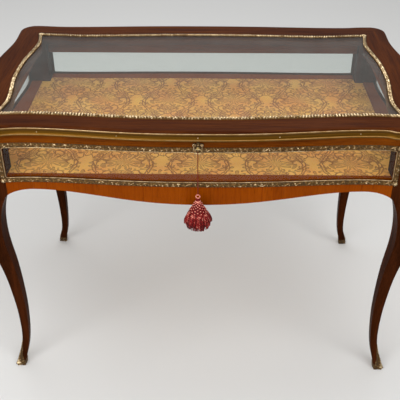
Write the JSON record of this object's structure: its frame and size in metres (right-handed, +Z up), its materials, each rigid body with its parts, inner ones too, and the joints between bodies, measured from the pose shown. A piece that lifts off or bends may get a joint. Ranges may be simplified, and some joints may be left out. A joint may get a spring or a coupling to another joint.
{
  "type": "collectors display table",
  "caption": "Serpentine table vitrine on four cabriole legs: hinged glazed lid, glazed case with a damask floor, gilt mounts, lock with key and hanging tassel.",
  "frame": {"origin": "on the floor, under the middle of the table", "axes": "+X to the right seen from the front, +Y to the back, +Z up; the lock and key face -Y"},
  "size_m": [1.098, 0.7216, 0.7745],
  "materials": {
    "mahogany_leg": "polished mahogany",
    "veneer_apron": "French-polished veneer",
    "mahogany_frieze": "French-polished veneer",
    "mahogany_lid": "French-polished mahogany",
    "gilt_bronze": "cast, gilt, aged in the recesses",
    "gilt_brass": "drawn brass, gilt and rubbed",
    "clear_glass": "clear sheet glass",
    "floor_pine": "planed pine",
    "gold_damask": "woven silk damask",
    "lock_brass": "satin brass",
    "lock_steel": "bright steel",
    "red_cord": "twisted silk cord",
    "crimson_tassel": "silk thread"
  },
  "bodies": {
    "case": {"leg_front_left": "mahogany_leg", "leg_front_right": "mahogany_leg", "leg_rear_left": "mahogany_leg", "leg_rear_right": "mahogany_leg", "sabot_front_left": "gilt_bronze", "sabot_front_right": "gilt_bronze", "sabot_rear_left": "gilt_bronze", "sabot_rear_right": "gilt_bronze", "corner_mount_front_left": "gilt_bronze", "corner_mount_front_right": "gilt_bronze", "corner_mount_rear_left": "gilt_bronze", "corner_mount_rear_right": "gilt_bronze", "apron_front": "veneer_apron", "apron_right": "veneer_apron", "apron_back": "veneer_apron", "apron_left": "veneer_apron", "frieze_front": "mahogany_frieze", "frieze_right": "mahogany_frieze", "frieze_back": "mahogany_frieze", "frieze_left": "mahogany_frieze", "glass_front": "clear_glass", "glass_right": "clear_glass", "glass_back": "clear_glass", "glass_left": "clear_glass", "glass_slip_front": "gilt_brass", "glass_slip_right": "gilt_brass", "glass_slip_back": "gilt_brass", "glass_slip_left": "gilt_brass", "foliate_frame_front": "gilt_bronze", "foliate_frame_right": "gilt_bronze", "foliate_frame_back": "gilt_bronze", "foliate_frame_left": "gilt_bronze", "floor_board": "floor_pine", "damask_lining": "gold_damask", "floor_cleats": "floor_pine", "lock_case": "lock_brass", "escutcheon": "gilt_bronze", "hinge_case_leaves": "lock_brass", "case_fixings": "lock_brass"},
    "lid": {"lid_rail_front": "mahogany_lid", "lid_rail_right": "mahogany_lid", "lid_rail_back": "mahogany_lid", "lid_rail_left": "mahogany_lid", "lid_bead_front": "gilt_bronze", "lid_bead_right": "gilt_bronze", "lid_bead_back": "gilt_bronze", "lid_bead_left": "gilt_bronze", "edge_moulding_front": "gilt_brass", "edge_moulding_right": "gilt_brass", "edge_moulding_back": "gilt_brass", "edge_moulding_left": "gilt_brass", "lid_glass": "clear_glass", "hinge_lid_leaves": "lock_brass", "lid_screws": "lock_brass", "lock_strike": "lock_brass", "edge_moulding_pins": "gilt_brass"},
    "key": {"key": "lock_brass"},
    "bolt": {"lock_bolt": "lock_steel"},
    "tassel": {"tassel_cord": "red_cord", "tassel": "crimson_tassel"}
  },
  "joints": [
    {"name": "lid_hinge", "type": "hinge", "parent": "case", "child": "lid", "pos_m": [0, 0.3225, 0.74325], "axis": [-1, 0, 0], "range_deg": [0, 95]},
    {"name": "key_turn", "type": "hinge", "parent": "case", "child": "key", "pos_m": [0, -0.338, 0.722], "axis": [0, -1, 0], "range_deg": [0, 90]},
    {"name": "bolt_slide", "type": "slide", "parent": "case", "child": "bolt", "axis": [-1, 0, 0], "range_m": [0, 0.009]},
    {"name": "tassel_swing", "type": "hinge", "parent": "case", "child": "tassel", "pos_m": [0, -0.348, 0.722], "axis": [-1, 0, 0], "range_deg": [0, 60]}
  ],
  "couplings": [
    {"joint": "bolt_slide", "follows": "key_turn", "m_per_rad": 0.00572}
  ]
}
